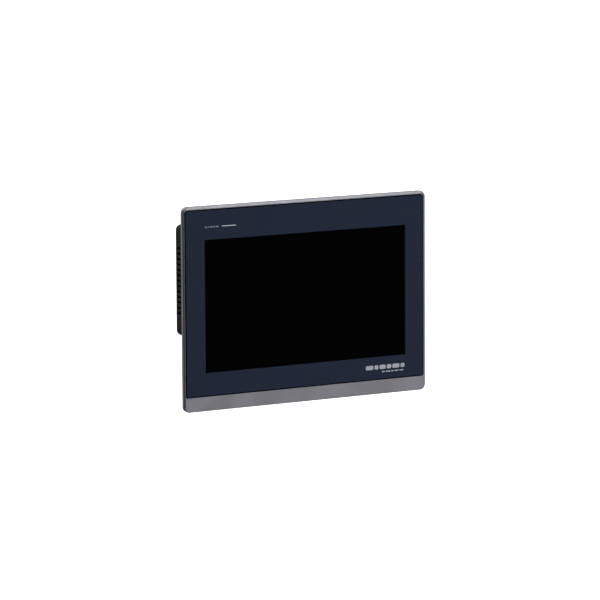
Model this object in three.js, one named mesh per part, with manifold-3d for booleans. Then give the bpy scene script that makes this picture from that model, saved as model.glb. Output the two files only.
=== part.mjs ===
// A 10.1 inch wide-format operator touch panel for mounting in a cabinet door. Millimetres.
// +X is the operator's right, +Y goes into the cabinet and +Z is up. The origin is the centre of the
// door cut-out, in the plane of the door's front face, where the seal presses.
import * as THREE from "three";
import { mergeVertices } from "three/addons/utils/BufferGeometryUtils.js";
import Module from "manifold-3d";

const wasm = await Module();
wasm.setup();

// ---------------------------------------------------------------- driving dimensions

const seatGap = 0.15; // between pieces that seat on each other
const slideGap = 0.3; // round a piece that slides, turns or drops into a pocket

const bezel = {
  width: 270,
  height: 199,
  corner: 6,
  thickness: 4.6,
  edgeRound: 1,
  sideLip: 2.2,
  topLip: 3,
  chin: 14.1,
};
const seal = { standOff: 0.8, width: 4, thickness: 1.9, edgeMargin: 1.8, corner: 4 };
const overlay = { thickness: 1.2, groove: 0.9, bottomCorner: 2.5, edgeRound: 0.3 };
const screen = { width: 223, height: 129, centreZ: 2.3 };
const glass = { sideMargin: 8.5, endMargin: 10, thickness: 1.1 };
const lightBar = { width: 15.6, height: 1, leftFromScreen: 18.7, aboveScreen: 12.4 };
const ledBoard = { margin: 3, height: 6, thickness: 1.2, ledHeight: 0.8 };
const web = { thickness: 1.2, apertureMargin: 1.5 };
const lcd = { sideMargin: 6, endMargin: 7, depth: 5.4, skin: 0.6, rim: 3.2, cell: 1.4, guide: 2 };
const foam = { thickness: 0.8, width: 4 };

const tray = { sideInset: 9, endInset: 8.5, depth: 12, wall: 2.5, corner: 4, edgeRound: 1 };
const box = {
  sideStep: 9.7,
  topStep: 14.2,
  height: 108.5,
  depth: 46.5,
  wall: 2.5,
  corner: 5.5,
  edgeRound: 1.5,
};
const clampSlot = { length: 12, width: 6, depth: 5, liner: 1.5, front: 2.6, fromEnd: 52 };

const chassis = { thickness: 1.2, sideMargin: 8, endMargin: 9, post: 3, fromSide: 16 };
const clearHole = 1.7; // for the small screws
const board = {
  sideGap: 6.8,
  topGap: 10,
  bottomGap: 1,
  thickness: 1.6,
  behindTray: 0.75,
  screwInset: 9,
  aboveSockets: 5,
};
const caseScrew = { shank: 1.4, head: 2.8, headHeight: 2.2, length: 9, boss: 3.4, fromEdge: 7.2 };
const smallScrew = { shank: 1.3, head: 2.5, headHeight: 1.6, length: 4.4 };

const mouthRecess = 0.3; // the sockets' mouths sit this far inside the housing's underside
const ports = {
  power: 90,
  ethernetA: 61,
  ethernetB: 41,
  serialJack: 16,
  serial: -17,
  hostA: -53,
  hostB: -71,
  device: -90,
};
const jack = { width: 16, depth: 13.4, height: 18, mouthWidth: 11.8, mouthDepth: 8, reach: 12, side: 1.9 };
const jackLatch = { width: 6, depth: 1.6, keyWidth: 3.4, keyDepth: 1.3 };
const dSub = {
  flangeWidth: 30.8,
  flangeDepth: 12.5,
  flange: 1.2,
  shellWidth: 17,
  shellDepth: 8.4,
  shellHeight: 5.8,
};
const dSubBody = { width: 19.3, depth: 10.5, height: 10, pinPitch: 2.77, rowPitch: 2.84, screwPitch: 25 };
const usbHost = { width: 13.2, depth: 5.8, height: 14, wall: 0.5, reach: 9, tongue: 1.9, tongueInset: 1 };
const usbDevice = { width: 7.6, depth: 3, height: 5.4, wall: 0.4, reach: 4 };
const header = { width: 20, depth: 12, height: 13, wall: 1.2, reach: 9.6, pitch: 5.08, pin: 0.5, poles: 3 };
const plug = {
  bodyHeight: 14,
  bodyDepth: 13,
  wireHole: 3.4,
  wireReach: 9,
  screwBore: 1.9,
  screwBelow: 5,
  socket: 0.8,
};
const clampScrew = { radius: 1.6, length: 5, slotWidth: 0.6, slotDepth: 0.9, recess: 0.4 };

const vent = {
  height: 2.2,
  pitch: 5.3,
  count: 13,
  length: 15,
  fromBack: 4.2,
  topWidth: 2.2,
  topPitch: 6.5,
  topCount: 28,
};
const label = { width: 92, height: 54, thickness: 0.3, sink: 0.4, x: 8, fromTop: 50.5 };
const bay = { width: 44, height: 32, depth: 12, wall: 1.6, x: -82, fromTop: 24.5, cornerGap: 0.4 };
const door = { thickness: 2, pin: 0.8, knuckle: 1.4, pinReach: 2.2, lip: 1.2, notch: 9 };
const cell = { radius: 10, thickness: 3.2, holderWall: 1.4, holderFloor: 1, x: 8.5, z: -2 };
const dip = {
  width: 6.4,
  height: 11.6,
  depth: 3.2,
  x: -14.5,
  z: -2,
  lever: 1.3,
  travel: 1.6,
  pitch: 2.54,
  slots: 4,
};
const heatSink = { width: 62, height: 44, base: 3, fins: 9, fin: 1.6, finHeight: 11, x: -8, z: 22 };
const chips = { processor: 21, processorHeight: 1.8, memory: 12, memoryHeight: 1.2 };
const capacitor = { radius: 5, height: 16 };
const coil = { side: 12.5, height: 7 };
const buzzer = { radius: 6, height: 7.5 };

// ---------------------------------------------------------------- where the main faces lie

const bezelBack = -seal.standOff;
const bezelFront = bezelBack - bezel.thickness;
const overlayTop = bezel.height / 2 - bezel.topLip;
const overlayBottom = -bezel.height / 2 + bezel.chin;
const recessWidth = bezel.width - 2 * bezel.sideLip;
const recessCorner = bezel.corner - bezel.sideLip;
const recessHeight = overlayTop - overlayBottom;
const recessZ = (overlayTop + overlayBottom) / 2;
const recessFloor = bezelFront + overlay.thickness + seatGap;
const glassWidth = screen.width + 2 * glass.sideMargin;
const glassHeight = screen.height + 2 * glass.endMargin;
const glassFloor = recessFloor + glass.thickness + 2 * seatGap;
const webBack = glassFloor + web.thickness;
const lcdWidth = screen.width + 2 * lcd.sideMargin;
const lcdHeight = screen.height + 2 * lcd.endMargin;
const lcdFront = webBack + foam.thickness + 2 * seatGap;
const lcdBack = lcdFront + lcd.depth;
const chassisFront = lcdBack + 0.5;
const chassisBack = chassisFront + chassis.thickness;
const boardBack = tray.depth + board.behindTray;
const boardFront = boardBack - board.thickness;

const trayWidth = bezel.width - 2 * tray.sideInset;
const trayHeight = bezel.height - 2 * tray.endInset;
const boxWidth = trayWidth - 2 * box.sideStep;
const boxTop = trayHeight / 2 - box.topStep;
const boxBottom = boxTop - box.height;
const boxZ = (boxTop + boxBottom) / 2;
const boxInnerBack = box.depth - box.wall;
const boardWidth = boxWidth - 2 * (box.wall + board.sideGap);
const boardBottom = boxBottom + box.wall + board.bottomGap;
const boardHeight = boxTop - box.wall - board.topGap - boardBottom;
const boardZ = boardBottom + boardHeight / 2;
const mouthZ = boxBottom + mouthRecess;
const bayZ = boxTop - bay.fromTop - bay.height / 2;
const bayFloor = box.depth - bay.depth;
const lightBarX = -screen.width / 2 + lightBar.leftFromScreen + lightBar.width / 2;
const lightBarZ = screen.centreZ + screen.height / 2 + lightBar.aboveScreen;

// ---------------------------------------------------------------- materials

const finish = (color, roughness, metalness = 0) =>
  new THREE.MeshStandardMaterial({ color, roughness, metalness });
const silverPlastic = finish(0x7a787f, 0.45, 0.2);
const navyFilm = finish(0x272e3f, 0.5);
const screenBlack = finish(0x050506, 0.15);
const clearGlass = finish(0x9fb4b8, 0.1);
const blackPlastic = finish(0x1c1d21, 0.6);
const blackRubber = finish(0x161616, 0.85);
const greyFoam = finish(0x3a3a3c, 0.95);
const sheetSteel = finish(0xb4b6b8, 0.35, 0.9);
const aluminium = finish(0xa9adb1, 0.4, 0.9);
const lightPlastic = finish(0xc9ced6, 0.3);
const whitePlastic = finish(0xe4e4e0, 0.5);
const circuitGreen = finish(0x1c5a3a, 0.5);
const chipBlack = finish(0x17171a, 0.5);
const plugGreen = finish(0x2f7d4a, 0.55);
const copperFilm = finish(0xa8692c, 0.4);
const labelWhite = finish(0xdcdcda, 0.6);
const dipRed = finish(0xa3282a, 0.5);

// ---------------------------------------------------------------- making solids

// A closed three.js geometry as a manifold-3d solid.
function solid(geometry) {
  const bare = geometry.index ? geometry.toNonIndexed() : geometry.clone();
  bare.deleteAttribute("normal");
  bare.deleteAttribute("uv");
  const merged = mergeVertices(bare, 1e-4);
  return new wasm.Manifold(
    new wasm.Mesh({
      numProp: 3,
      vertProperties: merged.attributes.position.array,
      triVerts: new Uint32Array(merged.index.array),
    }),
  );
}

// A manifold-3d solid as a flat-shaded three.js geometry.
function geometryOf(made) {
  const { vertProperties, triVerts } = made.getMesh();
  const geometry = new THREE.BufferGeometry();
  geometry.setAttribute("position", new THREE.BufferAttribute(new Float32Array(vertProperties), 3));
  geometry.setIndex(new THREE.BufferAttribute(new Uint32Array(triVerts), 1));
  const flat = geometry.toNonIndexed();
  flat.computeVertexNormals();
  return flat;
}

const joined = (first, ...rest) => rest.reduce((whole, piece) => whole.add(piece), first);
const cut = (first, ...rest) => rest.reduce((whole, piece) => whole.subtract(piece), first);

// A block between two corners.
function span(x0, x1, y0, y1, z0, z1) {
  const geometry = new THREE.BoxGeometry(x1 - x0, y1 - y0, z1 - z0);
  geometry.translate((x0 + x1) / 2, (y0 + y1) / 2, (z0 + z1) / 2);
  return solid(geometry);
}

// A block centred on x and z that runs from y0 to y1.
function slab(width, height, y0, y1, x = 0, z = 0) {
  return span(x - width / 2, x + width / 2, y0, y1, z - height / 2, z + height / 2);
}

// A round bar along Y.
function rodY(radius, y0, y1, x = 0, z = 0, sides = 20) {
  const geometry = new THREE.CylinderGeometry(radius, radius, y1 - y0, sides);
  geometry.translate(x, (y0 + y1) / 2, z);
  return solid(geometry);
}

// A round bar along X.
function rodX(radius, x0, x1, y, z, sides = 16) {
  const geometry = new THREE.CylinderGeometry(radius, radius, x1 - x0, sides);
  geometry.rotateZ(Math.PI / 2);
  geometry.translate((x0 + x1) / 2, y, z);
  return solid(geometry);
}

// A round or six-sided bar along Z.
function rodZ(radius, z0, z1, x, y, sides = 6) {
  const geometry = new THREE.CylinderGeometry(radius, radius, z1 - z0, sides);
  geometry.rotateX(Math.PI / 2);
  geometry.translate(x, y, (z0 + z1) / 2);
  return solid(geometry);
}

// A rectangle in X and Z with its own radius on the top and the bottom corners.
function roundedRectangle(width, height, topRadius, bottomRadius = topRadius) {
  const [w, h] = [width / 2, height / 2];
  const shape = new THREE.Shape();
  shape.absarc(w - topRadius, h - topRadius, topRadius, 0, Math.PI / 2);
  shape.absarc(-w + topRadius, h - topRadius, topRadius, Math.PI / 2, Math.PI);
  shape.absarc(-w + bottomRadius, -h + bottomRadius, bottomRadius, Math.PI, 1.5 * Math.PI);
  shape.absarc(w - bottomRadius, -h + bottomRadius, bottomRadius, 1.5 * Math.PI, 2 * Math.PI);
  shape.closePath();
  return shape;
}

// A shape drawn in X and Z, extruded from y0 to y1.
function prism(shape, y0, y1, x = 0, z = 0, curveSegments = 5) {
  const geometry = new THREE.ExtrudeGeometry(shape, { depth: y1 - y0, bevelEnabled: false, curveSegments });
  geometry.rotateX(Math.PI / 2);
  geometry.translate(x, y1, z);
  return solid(geometry);
}

// The same with its outer edge rounded at one end: "front" is the y0 end and "rear" the y1 end.
function softPrism(shape, y0, y1, round, end, x = 0, z = 0) {
  const geometry = new THREE.ExtrudeGeometry(shape, {
    depth: y1 - y0,
    bevelThickness: round,
    bevelSize: round,
    bevelOffset: -round,
    bevelSegments: 4,
    curveSegments: 6,
  });
  geometry.rotateX(Math.PI / 2);
  geometry.translate(x, end === "front" ? y1 + round : y1 - round, z);
  const reach = 1000;
  return solid(geometry).intersect(span(-reach, reach, y0, y1, -reach, reach));
}

// A thin ribbon through points in Y and Z, of a given width along X.
function ribbon(points, thickness, width, x) {
  const route = new THREE.SplineCurve(points.map(([y, z]) => new THREE.Vector2(y, z)));
  const steps = 5 * (points.length - 1);
  const sides = [[], []];
  for (let i = 0; i <= steps; i++) {
    const at = route.getPoint(i / steps);
    const along = route.getTangent(i / steps);
    const across = new THREE.Vector2(-along.y, along.x).multiplyScalar(thickness / 2);
    sides[0].push(at.clone().add(across));
    sides[1].unshift(at.clone().sub(across));
  }
  const outline = new THREE.Shape([...sides[0], ...sides[1]].reverse());
  const geometry = new THREE.ExtrudeGeometry(outline, { depth: width, bevelEnabled: false });
  const turned = new THREE.Matrix4().makeBasis(
    new THREE.Vector3(0, 1, 0),
    new THREE.Vector3(0, 0, 1),
    new THREE.Vector3(1, 0, 0),
  );
  geometry.applyMatrix4(turned);
  geometry.translate(x - width / 2, 0, 0);
  return solid(geometry);
}

const panel = new THREE.Group();

// Adds one named mesh to a group, placed at a point of that group.
function place(group, name, made, material, x = 0, y = 0, z = 0) {
  const mesh = new THREE.Mesh(geometryOf(made), material);
  mesh.name = name;
  mesh.position.set(x, y, z);
  group.add(mesh);
}

// A group placed at a point of the panel.
function station(x, y, z) {
  const group = new THREE.Group();
  group.position.set(x, y, z);
  panel.add(group);
  return group;
}

// The four corners of a rectangle, as [x, z].
const corners = (x, z) => [[-x, z], [x, z], [-x, -z], [x, -z]];

// ---------------------------------------------------------------- front: bezel, film, glass, seal

const caseScrewX = trayWidth / 2 - caseScrew.fromEdge;
const caseScrewZ = trayHeight / 2 - caseScrew.fromEdge;
const caseScrewPlaces = corners(caseScrewX, caseScrewZ);
const bossEnd = tray.depth - tray.wall - seatGap;
const chassisPostX = trayWidth / 2 - chassis.fromSide;
const chassisPostZ = trayHeight / 2 - chassis.endMargin - chassis.post;
const chassisPostPlaces = corners(chassisPostX, chassisPostZ);
const flexSlot = { width: 26, height: 1.8, x: 62, z: screen.centreZ - glassHeight / 2 + 1.2 };
const sealOuterWidth = bezel.width - 2 * seal.edgeMargin;
const sealOuterHeight = bezel.height - 2 * seal.edgeMargin;

function sealRing(grow, y0, y1) {
  const outer = roundedRectangle(
    sealOuterWidth + 2 * grow,
    sealOuterHeight + 2 * grow,
    seal.corner + seal.width / 2 + grow,
  );
  const inner = roundedRectangle(
    sealOuterWidth - 2 * seal.width - 2 * grow,
    sealOuterHeight - 2 * seal.width - 2 * grow,
    seal.corner - seal.width / 2 - grow,
  );
  return cut(prism(outer, y0, y1), prism(inner, y0 - 1, y1 + 1));
}

function bezelFrame() {
  const outline = roundedRectangle(bezel.width, bezel.height, bezel.corner);
  const recess = roundedRectangle(recessWidth, recessHeight, recessCorner, overlay.bottomCorner);
  const lcdPocketWidth = lcdWidth + 2 * slideGap;
  const lcdPocketHeight = lcdHeight + 2 * slideGap;
  const margin = 2 * web.apertureMargin;
  const body = joined(
    softPrism(outline, bezelFront, bezelBack, bezel.edgeRound, "front"),
    ...caseScrewPlaces.map(([x, z]) => rodY(caseScrew.boss, bezelBack - 1, bossEnd, x, z)),
    ...chassisPostPlaces.map(([x, z]) => rodY(chassis.post, bezelBack - 1, chassisFront - seatGap, x, z)),
  );
  return cut(
    body,
    prism(recess, bezelFront - 1, recessFloor, 0, recessZ),
    slab(glassWidth + 2 * slideGap, glassHeight + 2 * slideGap, bezelFront, glassFloor, 0, screen.centreZ),
    slab(screen.width + margin, screen.height + margin, bezelFront, bezelBack + 1, 0, screen.centreZ),
    slab(lcdPocketWidth, lcdPocketHeight, webBack, bezelBack + 1, 0, screen.centreZ),
    slab(
      lightBar.width + 2 * slideGap,
      lightBar.height + 2 * slideGap,
      bezelFront - 1,
      bezelBack + 1,
      lightBarX,
      lightBarZ,
    ),
    slab(flexSlot.width, flexSlot.height, glassFloor - 1, bezelBack + 1, flexSlot.x, flexSlot.z),
    sealRing(seatGap, bezelBack - seal.thickness + seal.standOff - seatGap, bezelBack + 1),
    ...caseScrewPlaces.map(([x, z]) => rodY(caseScrew.shank + 0.2, bezelBack, bossEnd + 1, x, z)),
    ...chassisPostPlaces.map(([x, z]) => rodY(smallScrew.shank + 0.2, bezelBack, chassisFront, x, z)),
  );
}

function touchOverlay() {
  const film = roundedRectangle(
    recessWidth - 2 * overlay.groove,
    recessHeight - 2 * overlay.groove,
    recessCorner - overlay.groove,
    overlay.bottomCorner - overlay.groove,
  );
  const back = bezelFront + overlay.thickness;
  return cut(
    softPrism(film, bezelFront, back, overlay.edgeRound, "front", 0, recessZ),
    slab(screen.width, screen.height, bezelFront - 1, back + 1, 0, screen.centreZ),
    slab(lightBar.width, lightBar.height, bezelFront - 1, back + 1, lightBarX, lightBarZ),
  );
}

const paneGap = 0.05; // round the clear pane and the light bar, too fine to see
const glassFront = recessFloor + seatGap;
place(panel, "bezel_frame", bezelFrame(), silverPlastic);
place(panel, "touch_overlay", touchOverlay(), navyFilm);
place(
  panel,
  "display_window",
  slab(screen.width - 2 * paneGap, screen.height - 2 * paneGap, 0, overlay.thickness),
  screenBlack,
  0,
  bezelFront,
  screen.centreZ,
);
place(
  panel,
  "touch_glass",
  slab(glassWidth, glassHeight, 0, glass.thickness),
  clearGlass,
  0,
  glassFront,
  screen.centreZ,
);
place(panel, "panel_gasket", sealRing(0, -seal.thickness, 0), blackRubber);
place(
  panel,
  "status_light_bar",
  slab(lightBar.width - 2 * paneGap, lightBar.height - 2 * paneGap, 0, bezel.thickness - ledBoard.ledHeight),
  lightPlastic,
  lightBarX,
  bezelFront,
  lightBarZ,
);
place(
  panel,
  "status_led_board",
  joined(
    slab(lightBar.width + 2 * ledBoard.margin, ledBoard.height, 0, ledBoard.thickness),
    slab(lightBar.width - 2, lightBar.height, -ledBoard.ledHeight, 0.5),
  ),
  circuitGreen,
  lightBarX,
  bezelBack + seatGap,
  lightBarZ,
);

// ---------------------------------------------------------------- display module

const display = station(0, lcdFront, screen.centreZ);
const lcdInnerWidth = lcdWidth - 2 * lcd.skin;
const lcdInnerHeight = lcdHeight - 2 * lcd.skin;
const cellWidth = lcdInnerWidth - 2 * slideGap;
const cellHeight = lcdInnerHeight - 2 * slideGap;
const guideFront = lcd.skin + seatGap + lcd.cell + seatGap;
const stripHeight = 3;

place(
  display,
  "lcd_bezel",
  cut(
    slab(lcdWidth, lcdHeight, 0, lcd.depth - lcd.skin - seatGap),
    slab(lcdInnerWidth, lcdInnerHeight, lcd.skin, lcd.depth),
    slab(lcdWidth - 2 * lcd.rim - 2 * lcd.skin, lcdHeight - 4 * lcd.rim, -1, lcd.depth),
  ),
  sheetSteel,
);
place(display, "lcd_cell", slab(cellWidth, cellHeight, 0, lcd.cell), screenBlack, 0, lcd.skin + seatGap, 0);
place(
  display,
  "light_guide",
  slab(cellWidth, cellHeight - stripHeight - slideGap, 0, lcd.guide),
  whitePlastic,
  0,
  guideFront,
  (stripHeight + slideGap) / 2,
);
place(
  display,
  "backlight_strip",
  slab(cellWidth, stripHeight, 0, lcd.guide),
  labelWhite,
  0,
  guideFront,
  (stripHeight - cellHeight) / 2,
);
place(
  display,
  "lcd_back_tray",
  slab(lcdWidth, lcdHeight, 0, lcd.skin),
  sheetSteel,
  0,
  lcd.depth - lcd.skin,
  0,
);
place(
  display,
  "lcd_foam_seal",
  cut(
    slab(lcdWidth - 2, lcdHeight - 2, 0, foam.thickness),
    slab(lcdWidth - 2 - 2 * foam.width, lcdHeight - 2 - 2 * foam.width, -1, foam.thickness + 1),
  ),
  greyFoam,
  0,
  -foam.thickness - seatGap,
  0,
);

// ---------------------------------------------------------------- chassis and main board

const boardScrewX = boardWidth / 2 - board.screwInset;
const boardScrewTop = boardHeight / 2 - board.screwInset;
const boardScrewLow = mouthZ + jack.height + board.aboveSockets - boardZ;
const boardScrewPlaces = [boardScrewTop, boardScrewLow].flatMap((z) => [
  [-boardScrewX, z],
  [boardScrewX, z],
]);
const displaySlot = { width: 44, height: 8, x: -30, z: boardBottom - 9 };

function chassisPlate() {
  const width = trayWidth - 2 * chassis.sideMargin;
  const height = trayHeight - 2 * chassis.endMargin;
  const flat = cut(
    slab(width, height, chassisFront, chassisBack),
    ...caseScrewPlaces.map(([x, z]) => slab(14, 14, chassisFront - 1, chassisBack + 1, x, z)),
    ...chassisPostPlaces.map(([x, z]) => rodY(clearHole, chassisFront - 1, chassisBack + 1, x, z, 12)),
    slab(lightBar.width + 8, 9, chassisFront - 1, chassisBack + 1, lightBarX, lightBarZ),
    slab(
      displaySlot.width,
      displaySlot.height,
      chassisFront - 1,
      chassisBack + 1,
      displaySlot.x,
      displaySlot.z,
    ),
    slab(flexSlot.width + 4, 7, chassisFront - 1, chassisBack + 1, flexSlot.x, flexSlot.z),
  );
  const pillars = boardScrewPlaces.map(([x, z]) =>
    cut(
      rodY(3, chassisBack - 0.5, boardFront - seatGap, x, z + boardZ, 6),
      rodY(smallScrew.shank + 0.2, chassisBack - 1, boardFront, x, z + boardZ, 12),
    ),
  );
  return joined(flat, ...pillars);
}

function mainBoard() {
  return cut(
    slab(boardWidth, boardHeight, 0, board.thickness),
    ...boardScrewPlaces.map(([x, z]) => rodY(clearHole, -1, board.thickness + 1, x, z, 12)),
  );
}

// A cross-slotted screw along Y, its head at the rear and its seat at y = 0.
function screw(size) {
  const slot = size.head * 1.1;
  const top = size.headHeight;
  return cut(
    joined(rodY(size.shank, -size.length, 0.5, 0, 0, 10), rodY(size.head, 0, top, 0, 0, 16)),
    slab(slot, 0.7, top - 0.9, top + 1),
    slab(0.7, slot, top - 0.9, top + 1),
  );
}

function finnedHeatSink() {
  const pitch = (heatSink.width - heatSink.fin) / (heatSink.fins - 1);
  const fins = Array.from({ length: heatSink.fins }, (_, i) => {
    const x = -heatSink.width / 2 + heatSink.fin / 2 + i * pitch;
    const tip = heatSink.base + heatSink.finHeight;
    return slab(heatSink.fin, heatSink.height, heatSink.base - 0.5, tip, x, 0);
  });
  return joined(slab(heatSink.width, heatSink.height, 0, heatSink.base), ...fins);
}

place(panel, "chassis_plate", chassisPlate(), sheetSteel);
chassisPostPlaces.forEach(([x, z], i) =>
  place(panel, `chassis_screw_${i + 1}`, screw(smallScrew), sheetSteel, x, chassisBack + seatGap, z),
);

const circuit = station(0, boardFront, boardZ);
const onBoard = board.thickness + seatGap;
place(circuit, "main_board", mainBoard(), circuitGreen);
boardScrewPlaces.forEach(([x, z], i) =>
  place(circuit, `board_screw_${i + 1}`, screw(smallScrew), sheetSteel, x, onBoard, z),
);
place(
  circuit,
  "processor",
  slab(chips.processor, chips.processor, 0, chips.processorHeight),
  chipBlack,
  heatSink.x,
  onBoard,
  heatSink.z,
);
place(
  circuit,
  "heat_sink",
  finnedHeatSink(),
  aluminium,
  heatSink.x,
  onBoard + chips.processorHeight + seatGap,
  heatSink.z,
);
place(
  circuit,
  "memory_chip",
  slab(chips.memory, chips.memory, 0, chips.memoryHeight),
  chipBlack,
  40,
  onBoard,
  12,
);
place(circuit, "input_capacitor", rodY(capacitor.radius, 0, capacitor.height), chipBlack, 84, onBoard, 4);
place(circuit, "power_coil", slab(coil.side, coil.side, 0, coil.height), chipBlack, 64, onBoard, 6);
place(
  circuit,
  "buzzer",
  cut(rodY(buzzer.radius, 0, buzzer.height), rodY(1.2, buzzer.height - 2, buzzer.height + 1, 0, 0, 10)),
  chipBlack,
  -50,
  onBoard,
  22,
);

// Both ribbon cables run up behind the chassis plate and on to the front of the board's lower edge.
const flexThickness = 0.2;
const flexRun = chassisBack + 1.6;
const flexEnd = [
  [flexRun, boardBottom - 3],
  [boardFront - 1, boardBottom + 4],
  [boardFront - 0.8, boardBottom + 10],
];
place(
  panel,
  "display_flex",
  ribbon(
    [
      [lcdBack + 0.25, displaySlot.z - 14],
      [lcdBack + 0.25, displaySlot.z - 5],
      [chassisBack, displaySlot.z + 1],
      ...flexEnd,
    ],
    flexThickness,
    displaySlot.width - 6,
    displaySlot.x,
  ),
  copperFilm,
);
place(
  panel,
  "touch_flex",
  ribbon(
    [
      [glassFloor, flexSlot.z],
      [chassisFront, flexSlot.z],
      [flexRun, flexSlot.z + 4],
      [flexRun, (flexSlot.z + boardBottom) / 2],
      ...flexEnd,
    ],
    flexThickness,
    flexSlot.width - 4,
    flexSlot.x,
  ),
  copperFilm,
);

// ---------------------------------------------------------------- sockets on the board's lower edge

const sockets = station(0, boardBack + seatGap, mouthZ);

// A shielded eight-way modular jack: mouth down at z = 0, latch key towards the rear.
function modularJack() {
  const front = (jack.depth - jack.mouthDepth) / 2 - 0.6;
  const rear = front + jack.mouthDepth;
  const contacts = Array.from({ length: 8 }, (_, i) =>
    span((i - 3.5) * 1.02 - 0.2, (i - 3.5) * 1.02 + 0.2, front - 0.5, front + 1.1, 2.5, jack.reach - 1),
  );
  const shell = cut(
    span(-jack.width / 2, jack.width / 2, 0, jack.depth, 0, jack.height),
    span(-jack.mouthWidth / 2, jack.mouthWidth / 2, front, rear, -1, jack.reach),
    span(-jackLatch.width / 2, jackLatch.width / 2, rear - 1, rear + jackLatch.depth, -1, jack.reach - 2),
    span(
      -jackLatch.keyWidth / 2,
      jackLatch.keyWidth / 2,
      rear,
      rear + jackLatch.depth + jackLatch.keyDepth,
      -1,
      jack.reach - 4,
    ),
  );
  return joined(shell, ...contacts);
}

// The nine-way connector's D outline in X and Y, wide side towards the rear.
function dOutline(width, depth) {
  const slant = 0.17 * depth;
  const [w, d] = [width / 2, depth / 2];
  return new THREE.Shape([
    new THREE.Vector2(-w + slant, -d),
    new THREE.Vector2(w - slant, -d),
    new THREE.Vector2(w, -d * 0.7),
    new THREE.Vector2(w, d * 0.7),
    new THREE.Vector2(w - 0.6, d),
    new THREE.Vector2(-w + 0.6, d),
    new THREE.Vector2(-w, d * 0.7),
    new THREE.Vector2(-w, -d * 0.7),
  ]);
}

// A shape drawn in X and Y, extruded from z0 to z1.
function upright(shape, z0, z1, y) {
  const geometry = new THREE.ExtrudeGeometry(shape, { depth: z1 - z0, bevelEnabled: false });
  geometry.translate(0, y, z0);
  return solid(geometry);
}

const dSubY = dSub.flangeDepth / 2;

// A nine-way male D connector: flange against the inside of the wall, shell through the opening.
function serialConnector() {
  const flangeTop = box.wall + dSub.flange;
  const shape = dOutline(dSub.shellWidth, dSub.shellDepth);
  const outer = upright(shape, flangeTop - dSub.shellHeight, flangeTop, dSubY);
  const hollow = upright(
    dOutline(dSub.shellWidth - 1, dSub.shellDepth - 1),
    flangeTop - dSub.shellHeight - 1,
    flangeTop - 0.6,
    dSubY,
  );
  const [w, d] = [dSub.flangeWidth / 2, dSub.flangeDepth / 2];
  const flange = span(-w, w, dSubY - d, dSubY + d, box.wall, flangeTop);
  const bodyDepth = dSubBody.depth / 2;
  const body = span(
    -dSubBody.width / 2,
    dSubBody.width / 2,
    dSubY - bodyDepth,
    dSubY + bodyDepth,
    flangeTop - 0.2,
    flangeTop + dSubBody.height,
  );
  const pin = (x, y) => rodZ(0.5, flangeTop - dSub.shellHeight + 0.8, flangeTop, x, y, 8);
  const rear = [-2, -1, 0, 1, 2].map((i) => pin(i * dSubBody.pinPitch, dSubY + dSubBody.rowPitch / 2));
  const front = [-1.5, -0.5, 0.5, 1.5].map((i) => pin(i * dSubBody.pinPitch, dSubY - dSubBody.rowPitch / 2));
  const screwHoles = [-1, 1].map((side) =>
    rodZ(1.7, box.wall - 1, flangeTop + 1, (side * dSubBody.screwPitch) / 2, dSubY, 12),
  );
  return joined(cut(joined(outer, flange), hollow, ...screwHoles), body, ...rear, ...front);
}

// A six-sided jack post: its stem goes through the connector's flange.
function jackPost() {
  return cut(
    joined(rodZ(2.7, -3.2, -seatGap, 0, 0, 6), rodZ(1.5, -1, box.wall + dSub.flange + 2.5, 0, 0, 12)),
    rodZ(1.2, -4, -0.6, 0, 0, 10),
  );
}

// A folded metal shell with a tongue inside: mouth down at z = 0.
function usbPort(size, tongue, tongueInset) {
  const [w, d] = [size.width / 2, size.depth];
  const shell = cut(
    span(-w, w, 0, d, 0, size.height),
    span(-w + size.wall, w - size.wall, size.wall, d - size.wall, -1, size.reach),
  );
  const side = size.wall + tongueInset;
  const under = size.wall + 0.35;
  return joined(shell, span(-w + side, w - side, under, under + tongue, 0.8, size.reach + 1));
}

const headerY = header.depth / 2;
const poles = Array.from({ length: header.poles }, (_, i) => (i - (header.poles - 1) / 2) * header.pitch);

// The board half of the supply connector: an open box with one pin for each pole.
function powerHeader() {
  const inner = header.width - 2 * header.wall;
  const shell = cut(
    span(-header.width / 2, header.width / 2, 0, header.depth, 0, header.height),
    span(-inner / 2, inner / 2, header.wall, header.depth - header.wall, -1, header.reach),
  );
  const pins = poles.map((x) =>
    span(x - header.pin, x + header.pin, headerY - header.pin, headerY + header.pin, 1.5, header.reach + 1),
  );
  return joined(shell, ...pins);
}

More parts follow.
